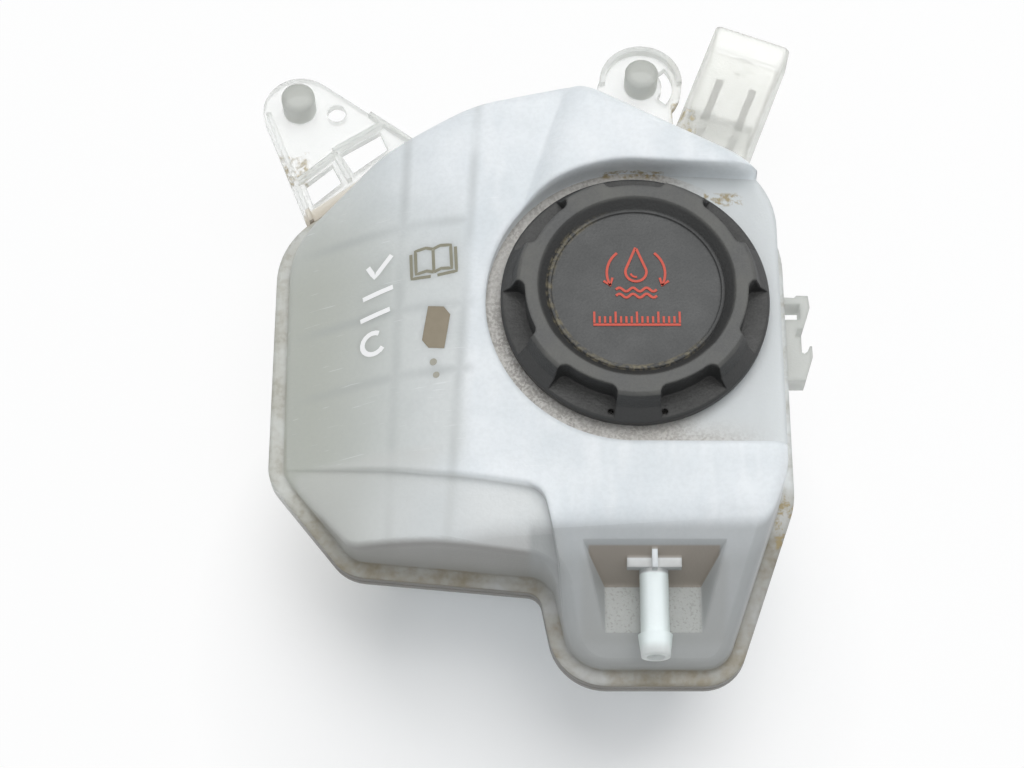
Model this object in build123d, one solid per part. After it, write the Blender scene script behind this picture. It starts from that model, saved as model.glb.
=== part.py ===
from build123d import *
from math import atan2, cos, degrees, hypot, radians, sin, tan
import os

# Coolant expansion tank: two welded translucent shells, a black screw cap with its valve insert,
# and the level sensor's contact pins. Millimetres, +Z up. The filler neck is on the Z axis and
# the tank stands on Z = 0.

# Tank body
wall = 2.6
parting_z = 45.0
wall_draft = 1.5
tub_draft = 13.0
flange_width = 4.2
flange_thickness = 3.0
rib_thickness = 1.6
rib_gap = 10.0
base_radius = 7.0
base_corner_spare = 0.5

# Tank plan at the weld flange, as x, y and corner radius, seen from above
left_x = -106.5
right_x = 44.6
lobe_front_y = -104.5
lobe_notch = (-25.0, -76.5, 9.0)
tank_plan_corners = [
    (left_x, -43.0, 8.0),
    (-84.0, -71.0, 9.0),
    lobe_notch,
    (-19.5, lobe_front_y, 13.0),
    (26.0, lobe_front_y, 9.0),
    (right_x, -52.0, 22.0),
    (right_x, 43.0, 28.0),
    (-15.0, 74.5, 20.0),
    (-48.0, 68.0, 60.0),
    (-77.0, 55.5, 40.0),
    (left_x, 33.5, 22.0),
]

# Roof over the tank, as x, height and bend radius, tilted to rise towards the back
roof_profile = [(-130.0, 35.2, 0.0), (-62.0, 80.8, 80.0), (70.0, 85.0, 0.0)]
roof_pivot_z = 83.0
roof_tilt = 3.0
roof_edge_radius = 4.5
lobe_slope = 33.8
lobe_edge_z = 53.3
lobe_bend_radius = 14.0
lobe_bend_reach = 20.0

# Raised back of the roof behind the cap
hump_z = 88.5
hump_turn = 15.0
hump_left = -35.0
hump_slope_run = 10.0
hump_slope_radius = 8.0
hump_front_y = 10.0
hump_edge_radius = 6.0

# Lower shelf along the front left of the roof, as x, y and corner radius; it deepens to the right
shelf_tilt = 3.4
shelf_edge_radius = 3.0
shelf_corners = [
    (-140.0, -34.0, 0.0),
    (-62.0, -51.8, 60.0),
    (-27.5, -57.4, 7.0),
    (-23.4, -76.5, 0.0),
    (-20.3, -105.0, 0.0),
    (-13.7, -140.0, 0.0),
    (-140.0, -140.0, 0.0),
]

# Baffle ribs inside, as the middle of the first and last point of each
rib_lines = [
    ((-68.0, 80.0), (-73.5, -90.0)),
    ((-46.0, 80.0), (-54.5, -60.0)),
    ((-120.0, 27.0), (-49.5, 27.0)),
    ((-120.0, 0.0), (-51.0, 0.0)),
    ((-120.0, -21.0), (-52.3, -21.0)),
]

# Flat land round the filler neck
land_z = 78.0
land_radius = 44.5
land_back_end_y = 40.5
land_front_end_y = -47.0

# Pocket and vent nipple in the front lobe
pocket_left_x = -9.5
pocket_right_x = 18.6
pocket_back_y = -81.5
pocket_floor_z = 59.0
pocket_back_draft = 29.5
pocket_side_draft = 23.5
vent_x = 4.6
vent_z = 64.5
vent_radius = 4.2
vent_barb_radius = 5.0
vent_bore_radius = 2.6
vent_length = 23.5
vent_barb_length = 6.5
vent_lug_span = 15.8
vent_lug_size = 3.0
vent_lug_rise = 3.0
vent_lug_setback = 2.2
vent_rib_height = 7.5
vent_rib_setback = 1.2
vent_root_length = 9.0

# Filler neck and screw thread
neck_radius = 27.3
neck_bore_radius = 24.5
neck_height = 8.4
neck_collar_depth = 18.0
thread_pitch = 4.0
thread_depth = 1.9
thread_root_width = 1.9
thread_crest_width = 1.1
thread_radial_clearance = 0.4
thread_start_height = 1.6
neck_thread_turns = 1.25
cap_thread_turns = 1.0
thread_seat = 0.3

# Screw cap
cap_gap = 2.5
cap_height = 12.2
cap_rim_radius = 40.0
cap_rim_height = 2.4
cap_waist_radius = 37.0
cap_waist_height = 6.4
cap_top_radius = 35.4
cap_top_edge = 0.9
cap_ring_inner_radius = 29.2
cap_disc_radius = 25.4
cap_dish_depth = 3.2
cap_lip_height = 0.6
cap_lip_width = 0.9
cap_roof = 2.6
cap_skirt_drop = 1.3
cap_skirt_wall = 2.2
recess_count = 7
recess_angle = 31.0
recess_radius = 32.8
recess_floor = 3.2
recess_corner_radius = 2.6
drain_angles = (56.0, 258.0, 282.0)
drain_circle = 37.6
drain_radius = 0.9
lobe_core_angle = 13.0
lobe_core_wall = 2.0

# Valve insert that hangs in the cap
insert_radius = 23.4
insert_drop = 14.0
insert_floor = 2.5
insert_wall = 4.0
insert_clearance = 0.3
lid_thickness = 2.5
lid_stem_radius = 12.5
lid_head_radius = 14.0
lid_head_thickness = 1.7
lid_vent_radius = 1.4
lid_vent_circle = 17.9
lid_vent_count = 6
collar_wall = 2.0
collar_lip = 1.4
ring_section = 3.0
ring_gap = 0.1
ring_heights = (4.5, 12.0)
ring_groove_play = 0.15
guide_radius = 13.2
guide_wall = 1.8
guide_height = 9.0
guide_slot_width = 5.0
guide_slot_count = 4
seat_bore_radius = 7.5
seat_width = 2.0
seat_height = 1.0
spring_seat_height = 1.5
spring_seat_wall = 1.2

# Relief and vacuum valves
relief_plate_radius = 12.8
relief_plate_thickness = 2.0
relief_seal_thickness = 1.1
relief_seal_bore = 6.9
relief_seal_radius = 12.0
relief_spring_wire = 1.5
relief_spring_radius = 9.6
relief_spring_turns = 4.0
spring_end_gap = 0.1
spring_side_gap = 0.5
vacuum_stem_radius = 1.8
vacuum_stem_clearance = 0.08
vacuum_stem_end = 0.6
vacuum_disc_radius = 6.0
vacuum_disc_thickness = 1.8
vacuum_port_radius = 0.7
vacuum_port_circle = 4.5
vacuum_port_count = 4
vacuum_spring_wire = 0.6
vacuum_spring_radius = 2.9
vacuum_spring_turns = 4.5
vacuum_spring_length = 4.6
vacuum_clip_radius = 4.2
vacuum_clip_thickness = 1.0
press_gap = 0.02
valve_seat_gap = 0.05

# Mounting ears on the weld flange
ear_thickness = 3.0
ear_rib_height = 3.0
ear_rib_width = 1.5
ear_rib_gap = 0.3
ear_screw_radius = 3.1
peg_radius = 5.4
peg_height = 9.0
peg_edge = 1.2
left_ear_end = (-106.0, 86.5)
left_ear_radius = 12.0
left_ear_hole = (-94.0, 85.3)
left_ear_corners = [
    (-117.2, 82.0), (-100.4, 40.0), (-96.0, 30.0), (-60.0, 55.0), (-68.0, 74.0), (-99.0, 96.3),
]
left_ear_windows = [
    [(-103.3, 58.9), (-94.8, 66.3), (-91.4, 59.7), (-100.5, 51.3)],
    [(-92.4, 70.3), (-79.6, 78.5), (-76.8, 71.8), (-87.9, 63.0)],
]
left_ear_ribs = [
    ((-116.0, 84.0), (-99.0, 40.5)),
    ((-105.5, 58.8), (-94.5, 68.5)),
    ((-94.5, 70.0), (-79.0, 80.0)),
    ((-93.8, 69.0), (-88.8, 59.5)),
    ((-83.0, 83.7), (-69.0, 73.5)),
]
top_ear_end = (5.6, 95.5)
top_ear_radius = 13.5
top_ear_corners = [(-6.5, 101.5), (-14.0, 78.0), (-14.0, 58.0), (18.0, 50.0), (15.5, 90.0)]
top_ear_slot_angle = 80.0
top_ear_slot_inner = 7.0
top_ear_slot_outer = 10.6
top_ear_rib_inset = 1.8

# Level sensor socket and its contact pins, below the flange at the back
socket_turn = 21.0
socket_mouth = (44.0, 117.0)
socket_width = 26.0
socket_height = 17.0
socket_wall = 1.7
socket_mouth_wall = 1.1
socket_mouth_depth = 7.5
socket_corner_radius = 2.5
socket_top_drop = 4.0
socket_depth = 32.0
socket_septum = 3.0
socket_latch_width = 4.0
socket_latch_height = 1.6
socket_latch_length = 6.0
socket_latch_inset = 8.0
pin_radius = 1.3
pin_spacing = 11.5
pin_recess = 15.0
pin_wet_length = 12.0
pin_gap = 0.02

# Two-hook cable clip on the right of the flange, as x beyond the wall and y
clip_corners = [
    (-4.0, 19.5), (7.9, 18.8), (8.7, 19.6), (12.3, 19.5), (12.7, 15.4), (10.3, 8.2),
    (8.5, 8.2), (7.7, 5.4), (9.5, 5.3), (9.5, -0.1), (10.3, -0.5), (11.3, 0.2),
    (12.1, 2.1), (12.8, 2.0), (12.8, -1.8), (10.3, -9.6), (-4.0, -9.6),
]
clip_height = 8.0
clip_drop = 1.0
clip_window = (4.6, 9.6, 11.2, 16.6)

# Hose outlet low on the back
outlet_x = -36.0
outlet_z = 18.0
outlet_radius = 10.0
outlet_barb_radius = 10.8
outlet_barb_length = 6.0
outlet_bore_radius = 7.8
outlet_tip_y = 92.0

# Heights and places that follow from the values above
tub_corner_radius = parting_z * tan(radians(tub_draft)) + base_radius + base_corner_spare
neck_top_z = land_z + neck_height
cap_bottom_z = land_z + cap_gap
cap_top_z = cap_bottom_z + cap_height
cap_disc_z = cap_top_z - cap_dish_depth
cap_under_z = cap_disc_z - cap_roof
cap_skirt_radius = neck_radius + thread_depth + thread_radial_clearance
insert_bottom_z = land_z - insert_drop
insert_floor_z = insert_bottom_z + insert_floor
lid_head_top_z = cap_under_z - insert_clearance
lid_head_bottom_z = lid_head_top_z - lid_head_thickness
collar_lip_top_z = lid_head_bottom_z - insert_clearance
collar_bottom_z = collar_lip_top_z - collar_lip
lid_top_z = collar_bottom_z - insert_clearance
lid_bottom_z = lid_top_z - lid_thickness
ring_radius = neck_bore_radius - ring_gap - ring_section / 2
seat_z = insert_floor_z + seat_height
relief_seal_z = seat_z + valve_seat_gap
relief_plate_z = relief_seal_z + relief_seal_thickness
relief_plate_top_z = relief_plate_z + relief_plate_thickness
relief_spring_outer = relief_spring_radius + relief_spring_wire / 2
relief_spring_inner = relief_spring_radius - relief_spring_wire / 2
vacuum_clip_z = relief_plate_top_z + vacuum_spring_length
ear_bottom_z = parting_z - ear_thickness
socket_z = parting_z - socket_top_drop - socket_height / 2
socket_reach = hypot(*socket_mouth)
vent_tip_y = pocket_back_y - vent_length

# Reach of cutting blocks past the part, depth of the walls below the weld while they are rounded,
# and the slack when an edge is picked out
far = 150.0
under = 20.0
pick_slack = 0.08
upright_lean = 0.12


def rounded_face(corners):
    """Flat face through corners given as x, y and radius, with a tangent arc at each round corner."""
    bends = []
    count = len(corners)
    for index, (x, y, radius) in enumerate(corners):
        here = Vector(x, y)
        if radius == 0:
            bends.append((here, None, here))
            continue
        before = corners[index - 1]
        after = corners[(index + 1) % count]
        to_before = (Vector(before[0], before[1]) - here).normalized()
        to_after = (Vector(after[0], after[1]) - here).normalized()
        half = radians(to_before.get_angle(to_after)) / 2
        reach = radius / tan(half)
        inward = (to_before + to_after).normalized()
        middle = here + inward * (radius / sin(half) - radius)
        bends.append((here + to_before * reach, middle, here + to_after * reach))
    edges = []
    for index, (start, middle, end) in enumerate(bends):
        if middle is not None:
            edges.append(ThreePointArc(start, middle, end))
        edges.append(Line(end, bends[(index + 1) % count][0]))
    return make_face(edges)


def grown(face, amount):
    """The face with its outline moved outward, or inward when the amount is negative."""
    if amount == 0:
        return face
    return offset(face, amount)


def cylinder(radius, bottom, top, x=0.0, y=0.0):
    return Pos(x, y, bottom) * Cylinder(radius, top - bottom, align=(Align.CENTER, Align.CENTER, Align.MIN))


def tube(outer, inner, bottom, top):
    return cylinder(outer, bottom, top) - cylinder(inner, bottom, top)


def rod(radius, start, end):
    """Round bar between two points."""
    line = Vector(*end) - Vector(*start)
    plane = Plane(origin=start, z_dir=line)
    return plane * Cylinder(radius, line.length, align=(Align.CENTER, Align.CENTER, Align.MIN))


def block(x0, x1, y0, y1, z0, z1):
    return Pos((x0 + x1) / 2, (y0 + y1) / 2, (z0 + z1) / 2) * Box(x1 - x0, y1 - y0, z1 - z0)


def slab(start, end, thickness, bottom, top):
    """Upright plate along the line between two plan points."""
    run = Vector(*end) - Vector(*start)
    turn = degrees(atan2(run.Y, run.X))
    centre = (Vector(*start) + Vector(*end)) / 2
    plate = Box(run.length, thickness, top - bottom)
    return Pos(centre.X, centre.Y, (bottom + top) / 2) * Rot(0, 0, turn) * plate


def prism(points, bottom, top):
    return Pos(0, 0, bottom) * extrude(make_face(Polyline(*points, close=True)), top - bottom)


def turned(points):
    """Solid of revolution about Z from radius and height points."""
    return revolve(make_face(Plane.XZ * Polyline(*points, close=True)), Axis.Z)


def wedge(angle):
    """Triangle from the axis, centred on +Y, that reaches past the part."""
    half_width = far * tan(radians(angle / 2))
    return make_face(Polyline((0, 0), (-half_width, far), (half_width, far), close=True))


def coil(radius, wire, bottom, top, turns):
    """Open helical spring between two heights."""
    height = top - bottom - wire
    path = Pos(0, 0, bottom + wire / 2) * Helix(height / turns, height, radius)
    section = Plane.XZ * Pos(radius, bottom + wire / 2) * Circle(wire / 2)
    return sweep(section, path=path, is_frenet=True)


def thread(root, crest, start_z, turns):
    """Helical ridge from a root radius to a crest radius, sunk a little into what carries it."""
    sunk = root - thread_seat if crest > root else root + thread_seat
    path = Pos(0, 0, start_z) * Helix(thread_pitch, thread_pitch * turns, root)
    section = make_face(Polyline(
        (sunk, start_z - thread_root_width / 2),
        (crest, start_z - thread_crest_width / 2),
        (crest, start_z + thread_crest_width / 2),
        (sunk, start_z + thread_root_width / 2),
        close=True))
    return sweep(Plane.XZ * section, path=path, is_frenet=True)


def wide_corner(corner):
    """A corner of the tub's plan, round enough to stay round at the narrower base; the notch is as above."""
    if corner == lobe_notch:
        return corner
    return corner[0], corner[1], max(corner[2], tub_corner_radius)


tank_plan = rounded_face(tank_plan_corners)
tub_plan = rounded_face([wide_corner(corner) for corner in tank_plan_corners])


def roof(inset):
    """Block under the roof surface, with the lobe's sloping front and a rounded bend between them."""
    corners = roof_profile + [(roof_profile[-1][0], -far, 0.0), (roof_profile[0][0], -far, 0.0)]
    top = extrude(Plane.XZ * grown(rounded_face(corners), -inset), far, both=True)
    top = Pos(0, 0, roof_pivot_z) * Rot(roof_tilt, 0, 0) * Pos(0, 0, -roof_pivot_z) * top
    rise = tan(radians(lobe_slope))
    slope = make_face(Polyline(
        (-far, lobe_edge_z - (far + lobe_front_y) * rise),
        (0, lobe_edge_z - lobe_front_y * rise),
        (far, lobe_edge_z - lobe_front_y * rise),
        (far, -far),
        (-far, -far),
        close=True))
    front = extrude(Plane.YZ * grown(slope, -inset), far, both=True)
    body = (top & front).solids()[0]
    bend_y = lobe_front_y + (roof_pivot_z - lobe_edge_z) / rise
    bend = [edge for edge in body.edges()
            if abs((edge @ 0.5).Y - bend_y) < lobe_bend_reach and (edge @ 0.5).Z > parting_z]
    return body.fillet(lobe_bend_radius - inset, bend)


def hump(inset):
    """Raised block behind the cap, with a sloping left side."""
    profile = [
        (hump_left - hump_slope_run, hump_z - hump_slope_run, 0.0),
        (hump_left, hump_z, hump_slope_radius),
        (far, hump_z, 0.0),
        (far, 0.0, 0.0),
        (hump_left - hump_slope_run, 0.0, 0.0),
    ]
    solid = Rot(0, 0, -hump_turn) * extrude(Plane.XZ * grown(rounded_face(profile), -inset), far, both=True)
    return solid & block(-far, far, hump_front_y + inset, far, parting_z - under, far)


def rim_edges(body, outline):
    """Edges where the roof meets the drafted side walls."""
    picked = []
    for edge in body.edges():
        middle = edge @ 0.5
        start = edge @ 0.0
        end = edge @ 1.0
        run = hypot(start.X - end.X, start.Y - end.Y)
        upright = run < upright_lean * abs(start.Z - end.Z) + pick_slack
        if middle.Z < parting_z - under + pick_slack or upright:
            continue
        lean = (middle.Z - parting_z + under) * tan(radians(wall_draft))
        away = outline.distance_to(Vertex(middle.X, middle.Y, 0))
        if abs(away - lean) < pick_slack:
            picked.append(edge)
    return picked


def land(grow):
    """Space above the land: round the neck and open to the right."""
    mouth = make_face(Polyline((0, land_radius), (far, land_back_end_y - (land_radius - land_back_end_y)),
                               (far, land_front_end_y), (0, -land_radius), close=True))
    return Pos(0, 0, land_z - grow) * extrude(grown(Circle(land_radius) + mouth, grow), far)


def pocket(grow):
    """Recess round the vent nipple, with a flat floor and sloping back and side walls."""
    back_run = (far - pocket_floor_z) * tan(radians(pocket_back_draft))
    side_run = (far - pocket_floor_z) * tan(radians(pocket_side_draft))
    floor_z = pocket_floor_z - grow
    lengthwise = make_face(Polyline(
        (pocket_back_y + grow, floor_z),
        (-far, floor_z),
        (-far, far),
        (pocket_back_y + grow + back_run, far),
        close=True))
    across = make_face(Polyline(
        (pocket_left_x - grow, floor_z),
        (pocket_right_x + grow, floor_z),
        (pocket_right_x + grow + side_run, far),
        (pocket_left_x - grow - side_run, far),
        close=True))
    return extrude(Plane.YZ * lengthwise, far, both=True) & extrude(Plane.XZ * across, far, both=True)


def upper_body(inset):
    """Closed form of the upper half, with every face moved inward by inset."""
    plan = grown(tank_plan, under * tan(radians(wall_draft)) - inset)
    outline = plan.faces()[0].outer_wire()
    walls = Pos(0, 0, parting_z - under) * extrude(plan, far - parting_z + under, taper=wall_draft)
    cover = roof(inset)
    main = (walls & cover).solids()[0]
    main = main.fillet(roof_edge_radius - inset, rim_edges(main, outline))
    hinge = Pos(left_x, 0, parting_z)
    low = (walls & hinge * Rot(0, shelf_tilt, 0) * hinge.inverse() * cover).solids()[0]
    low = low.fillet(shelf_edge_radius - inset, rim_edges(low, outline))
    raised = (walls & hump(inset)).solids()[0]
    raised = raised.fillet(hump_edge_radius - inset, rim_edges(raised, outline))
    shelf = extrude(grown(rounded_face(shelf_corners), inset), far)
    body = main - (shelf - low)
    body = body + raised
    body = body - land(inset)
    body = body - pocket(inset)
    return body - block(-far, far, -far, far, -far, parting_z)


def flange(bottom, top):
    """Plate of the weld flange, before the hollow of the tank is cut out of it."""
    return Pos(0, 0, bottom) * extrude(grown(tank_plan, flange_width), top - bottom)


def vent_nipple():
    """Small hose nipple in the pocket, with two side lugs and a rib at its root."""
    root_y = pocket_back_y + vent_root_length
    lug_y = pocket_back_y + vent_lug_setback
    lug_z = vent_z + vent_lug_rise
    nipple = rod(vent_radius, (vent_x, root_y, vent_z), (vent_x, vent_tip_y, vent_z))
    barb = Plane(origin=(vent_x, vent_tip_y, vent_z), z_dir=(0, 1, 0)) * Cone(
        vent_radius, vent_barb_radius, vent_barb_length, align=(Align.CENTER, Align.CENTER, Align.MIN))
    lug = block(vent_x - vent_lug_span / 2, vent_x + vent_lug_span / 2, lug_y, root_y,
                lug_z - vent_lug_size / 2, lug_z + vent_lug_size / 2)
    rib = block(vent_x - rib_thickness / 2, vent_x + rib_thickness / 2, pocket_back_y + vent_rib_setback,
                root_y, vent_z, vent_z + vent_rib_height)
    return nipple + barb + lug + rib


def vent_bore():
    return rod(vent_bore_radius, (vent_x, pocket_back_y + vent_length, vent_z), (vent_x, vent_tip_y, vent_z))


def upper_ribs():
    bottom = parting_z + rib_gap / 2
    ribs = slab(*rib_lines[0], rib_thickness, bottom, far)
    for line in rib_lines[1:]:
        ribs += slab(*line, rib_thickness, bottom, far)
    return ribs


def upper_shell():
    """Upper half: roof, neck, land, pocket, vent nipple and hanging baffle ribs."""
    outside = upper_body(0) + vent_nipple() + flange(parting_z, parting_z + flange_thickness)
    shell = outside - upper_body(wall)
    shell += upper_ribs() & upper_body(wall / 2)
    shell += tube(neck_radius, neck_bore_radius, land_z - neck_collar_depth, neck_top_z)
    shell -= cylinder(neck_bore_radius, land_z - neck_collar_depth, neck_top_z)
    shell += thread(neck_radius, neck_radius + thread_depth, land_z + thread_start_height, neck_thread_turns)
    return shell - vent_bore()


def lower_body(inset):
    """Closed form of the tub below the weld, narrower towards its rounded base edge."""
    depth = parting_z - inset
    plan = grown(tub_plan, -inset - depth * tan(radians(tub_draft)))
    tub = extrude(plan, depth, taper=-tub_draft).solids()[0]
    base = [edge for edge in tub.edges() if edge.bounding_box().max.Z < pick_slack]
    return Pos(0, 0, inset) * tub.fillet(base_radius - inset, base)


def lower_ribs():
    top = parting_z - rib_gap / 2
    ribs = slab(*rib_lines[0], rib_thickness, 0.0, top)
    for line in rib_lines[1:]:
        ribs += slab(*line, rib_thickness, 0.0, top)
    return ribs


def peg(x, y):
    bottom = parting_z - ear_thickness
    top = parting_z + peg_height
    body = cylinder(peg_radius, bottom, top - peg_edge, x, y)
    tip = Pos(x, y, top - peg_edge) * Cone(peg_radius, peg_radius - peg_edge, peg_edge,
                                           align=(Align.CENTER, Align.CENTER, Align.MIN))
    return body + tip


def left_ear():
    """Flat ear with two windows, stiffening ribs, a locating peg and a screw hole."""
    rib_top = parting_z + ear_rib_height
    ear = prism(left_ear_corners, ear_bottom_z, parting_z)
    ear += cylinder(left_ear_radius, ear_bottom_z, parting_z, *left_ear_end)
    for window in left_ear_windows:
        ear -= prism(window, ear_bottom_z, parting_z)
    for start, end in left_ear_ribs:
        ear += slab(start, end, ear_rib_width, ear_bottom_z, rib_top)
    ear += peg(*left_ear_end)
    return ear - cylinder(ear_screw_radius, ear_bottom_z, rib_top, *left_ear_hole)


def top_ear():
    """Round ear at the back with a raised border, a locating peg and a curved slot beside it."""
    rib_top = parting_z + ear_rib_height
    x, y = top_ear_end
    ear = prism(top_ear_corners, ear_bottom_z, parting_z)
    ear += cylinder(top_ear_radius, ear_bottom_z, parting_z, x, y)
    border = cylinder(top_ear_radius, parting_z, rib_top, x, y)
    border -= cylinder(top_ear_radius - top_ear_rib_inset, parting_z, rib_top, x, y)
    ear += border & block(-far, far, y, far, parting_z, rib_top)
    ear += peg(x, y)
    slot = wedge(top_ear_slot_angle) & Circle(top_ear_slot_outer)
    slot = extrude(slot - Circle(top_ear_slot_inner), ear_thickness)
    return ear - Pos(x, y, ear_bottom_z) * Rot(0, 0, -90) * slot


def along_socket(solid):
    """Places a solid made along Z so that Z = 0 is the socket's mouth and +Z runs into the tank."""
    inward = (-sin(radians(socket_turn)), -cos(radians(socket_turn)), 0)
    across = (cos(radians(socket_turn)), -sin(radians(socket_turn)), 0)
    return Plane(origin=(socket_mouth[0], socket_mouth[1], socket_z), x_dir=across, z_dir=inward) * solid


def socket_section(shrink):
    width = socket_width - 2 * shrink
    height = socket_height - 2 * shrink
    return RectangleRounded(width, height, socket_corner_radius - shrink)


def socket_outside():
    return along_socket(extrude(socket_section(0), socket_reach))


def socket_hollows():
    """Plug space with a wider mouth, and the wet well behind the septum that opens into the tank."""
    plug = extrude(socket_section(socket_wall), socket_depth)
    plug += extrude(socket_section(socket_mouth_wall), socket_mouth_depth)
    behind = socket_depth + socket_septum
    well = Pos(0, 0, behind) * extrude(socket_section(socket_wall), socket_reach - behind)
    return along_socket(plug + well)


def socket_latch():
    rise = socket_height / 2 - socket_wall
    nose = block(-socket_latch_width / 2, socket_latch_width / 2, rise - socket_latch_height,
                 rise + socket_wall / 2, socket_latch_inset, socket_latch_inset + socket_latch_length)
    return along_socket(nose)


def sensor_pin(side, radius):
    bottom = pin_recess
    top = socket_depth + socket_septum + pin_wet_length
    return along_socket(cylinder(radius, bottom, top, side * pin_spacing / 2, 0.0))


def cable_clip():
    top = parting_z - clip_drop
    points = [(right_x + x, y) for x, y in clip_corners]
    x0, x1, y0, y1 = clip_window
    return prism(points, top - clip_height, top) - block(right_x + x0, right_x + x1, y0, y1, 0, far)


def outlet_spigot():
    """Barbed outlet from the inside of the tank to its tip at the back."""
    spigot = rod(outlet_radius, (outlet_x, 0.0, outlet_z), (outlet_x, outlet_tip_y, outlet_z))
    barb = Plane(origin=(outlet_x, outlet_tip_y - outlet_barb_length, outlet_z), z_dir=(0, 1, 0)) * Cone(
        outlet_barb_radius, outlet_radius, outlet_barb_length, align=(Align.CENTER, Align.CENTER, Align.MIN))
    return spigot + barb


def outlet_bore():
    return rod(outlet_bore_radius, (outlet_x, 0.0, outlet_z), (outlet_x, outlet_tip_y, outlet_z))


def lower_shell():
    """Lower half: tub, flange, ears, sensor socket, cable clip, outlet and standing baffle ribs."""
    inner = lower_body(wall)
    outside = lower_body(0) + socket_outside() + outlet_spigot()
    outside += flange(parting_z - flange_thickness, parting_z)
    over_flange = Pos(0, 0, parting_z) * extrude(grown(tank_plan, flange_width + ear_rib_gap), far)
    outside += left_ear() - over_flange
    outside += top_ear() - over_flange
    outside += cable_clip()
    shell = outside - inner
    shell -= socket_hollows()
    shell -= outlet_bore()
    shell += socket_latch()
    shell += lower_ribs() & lower_body(wall / 2)
    for side in (-1, 1):
        shell -= sensor_pin(side, pin_radius + pin_gap)
    return shell


def recess_face():
    """Plan of one finger recess, centred on +Y, with rounded inner corners."""
    face = wedge(recess_angle) - Circle(recess_radius)
    inner = [corner for corner in face.vertices() if hypot(corner.X, corner.Y) < recess_radius + pick_slack]
    return fillet(inner, recess_corner_radius)


def lobe_core():
    """Hollow inside one lobe, open below."""
    inner = cap_skirt_radius + cap_skirt_wall
    outer = cap_waist_radius - lobe_core_wall
    face = (wedge(lobe_core_angle) - Circle(inner)) & Circle(outer)
    return Pos(0, 0, cap_bottom_z) * extrude(face, cap_waist_height)


def cap_shell():
    """Screw cap: seven lobes, dished top, threaded skirt and the snap collar that holds the insert."""
    lip_outer = cap_disc_radius + cap_lip_width
    lip_z = cap_disc_z + cap_lip_height
    outside = turned([
        (0, cap_bottom_z),
        (cap_rim_radius, cap_bottom_z),
        (cap_rim_radius, cap_bottom_z + cap_rim_height),
        (cap_waist_radius, cap_bottom_z + cap_waist_height),
        (cap_top_radius, cap_top_z - cap_top_edge),
        (cap_top_radius - cap_top_edge, cap_top_z),
        (cap_ring_inner_radius, cap_top_z),
        (lip_outer, cap_disc_z),
        (lip_outer - cap_lip_width / 4, lip_z),
        (cap_disc_radius - cap_lip_width / 4, lip_z),
        (cap_disc_radius - cap_lip_width / 2, cap_disc_z),
        (0, cap_disc_z),
    ])
    pitch = 360.0 / recess_count
    recess = Pos(0, 0, cap_bottom_z + recess_floor) * extrude(recess_face(), cap_height)
    core = lobe_core()
    for index in range(recess_count):
        outside -= Rot(0, 0, index * pitch) * recess
        outside -= Rot(0, 0, (index + 0.5) * pitch) * core
    for angle in drain_angles:
        x = drain_circle * cos(radians(angle))
        y = drain_circle * sin(radians(angle))
        outside -= cylinder(drain_radius, cap_bottom_z, cap_top_z, x, y)
    skirt_bottom_z = cap_bottom_z - cap_skirt_drop
    outside += tube(cap_skirt_radius + cap_skirt_wall, cap_skirt_radius, skirt_bottom_z, cap_under_z)
    cap = outside - cylinder(cap_skirt_radius, skirt_bottom_z, cap_under_z)
    collar_radius = lid_head_radius + insert_clearance
    collar_outer = collar_radius + collar_wall
    cap += tube(collar_outer, collar_radius, collar_bottom_z, cap_under_z)
    cap += tube(collar_outer, lid_stem_radius + insert_clearance, collar_bottom_z, collar_lip_top_z)
    thread_z = land_z + thread_start_height + thread_pitch / 2
    return cap + thread(cap_skirt_radius, cap_skirt_radius - thread_depth, thread_z, cap_thread_turns)


def valve_cup():
    """Body of the valve insert: grooved wall, floor with the relief seat, and the slotted guide."""
    wall_inner = insert_radius - insert_wall
    cup = cylinder(insert_radius, insert_bottom_z, lid_bottom_z)
    cup -= cylinder(wall_inner, insert_floor_z, lid_bottom_z)
    cup += tube(seat_bore_radius + seat_width, seat_bore_radius, insert_floor_z, seat_z)
    guide = tube(guide_radius + guide_wall, guide_radius, insert_floor_z, insert_floor_z + guide_height)
    slot_z = relief_plate_top_z
    for index in range(guide_slot_count):
        slot = block(0, wall_inner, -guide_slot_width / 2, guide_slot_width / 2, slot_z, lid_bottom_z)
        guide -= Rot(0, 0, index * 360.0 / guide_slot_count) * slot
    cup += guide
    cup -= cylinder(seat_bore_radius, insert_bottom_z, seat_z)
    groove_bottom = ring_radius - ring_section / 2 - ring_groove_play
    half = ring_section / 2 + ring_groove_play
    for height in ring_heights:
        middle = insert_bottom_z + height
        cup -= tube(neck_bore_radius, groove_bottom, middle - half, middle + half)
    return cup


def valve_lid():
    """Top of the valve insert: vented disc, spring seat and the head that snaps into the cap."""
    seat_inner = relief_spring_outer + spring_side_gap
    lid = cylinder(insert_radius, lid_bottom_z, lid_top_z)
    lid += cylinder(lid_stem_radius, lid_top_z, lid_head_bottom_z)
    lid += cylinder(lid_head_radius, lid_head_bottom_z, lid_head_top_z)
    lid += tube(seat_inner + spring_seat_wall, seat_inner, lid_bottom_z - spring_seat_height, lid_bottom_z)
    for index in range(lid_vent_count):
        angle = radians(index * 360.0 / lid_vent_count)
        x = lid_vent_circle * cos(angle)
        y = lid_vent_circle * sin(angle)
        lid -= cylinder(lid_vent_radius, lid_bottom_z, lid_top_z, x, y)
    return lid


def sealing_ring(height):
    return Pos(0, 0, insert_bottom_z + height) * Torus(ring_radius, ring_section / 2)


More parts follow.
